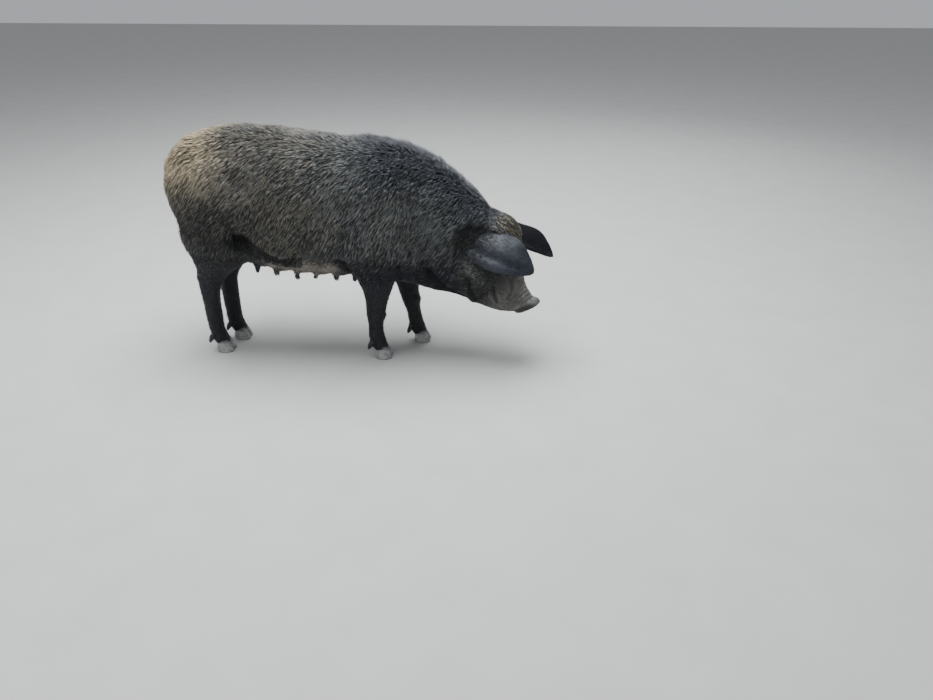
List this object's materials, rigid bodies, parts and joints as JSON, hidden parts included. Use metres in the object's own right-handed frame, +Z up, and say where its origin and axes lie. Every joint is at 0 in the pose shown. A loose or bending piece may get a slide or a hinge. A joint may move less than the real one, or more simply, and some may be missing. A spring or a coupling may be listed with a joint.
{
  "type": "mangalica pig",
  "caption": "Life-size still model of a mangalica sow: a deep bristly body standing on cloven hooves, head lowered, large lop ears over the eyes and a flat snout.",
  "frame": {"origin": "middle of the model's box, on the floor under its hooves", "axes": "+X towards the nose, +Y to the sow's left, +Z up"},
  "size_m": [1.4014, 0.4657, 0.8442],
  "materials": {
    "coat": "dark grey bristles with pale tips",
    "skin": "smooth slate skin with a soft sheen",
    "horn": "dusty grey horn",
    "eye": "wet dark brown"
  },
  "bodies": {
    "root": {"dewclaw_front_left_inner": "horn", "dewclaw_front_left_outer": "horn", "dewclaw_front_right_inner": "horn", "dewclaw_front_right_outer": "horn", "dewclaw_hind_left_inner": "horn", "dewclaw_hind_left_outer": "horn", "dewclaw_hind_right_inner": "horn", "dewclaw_hind_right_outer": "horn", "ear_left": "skin", "ear_right": "skin", "eye_left": "eye", "eye_right": "eye", "head": "coat", "hoof_front_left_inner": "horn", "hoof_front_left_outer": "horn", "hoof_front_right_inner": "horn", "hoof_front_right_outer": "horn", "hoof_hind_left_inner": "horn", "hoof_hind_left_outer": "horn", "hoof_hind_right_inner": "horn", "hoof_hind_right_outer": "horn", "leg_front_left": "coat", "leg_front_right": "coat", "leg_hind_left": "coat", "leg_hind_right": "coat", "neck": "coat", "tail": "coat", "torso": "coat"}
  },
  "joints": []
}
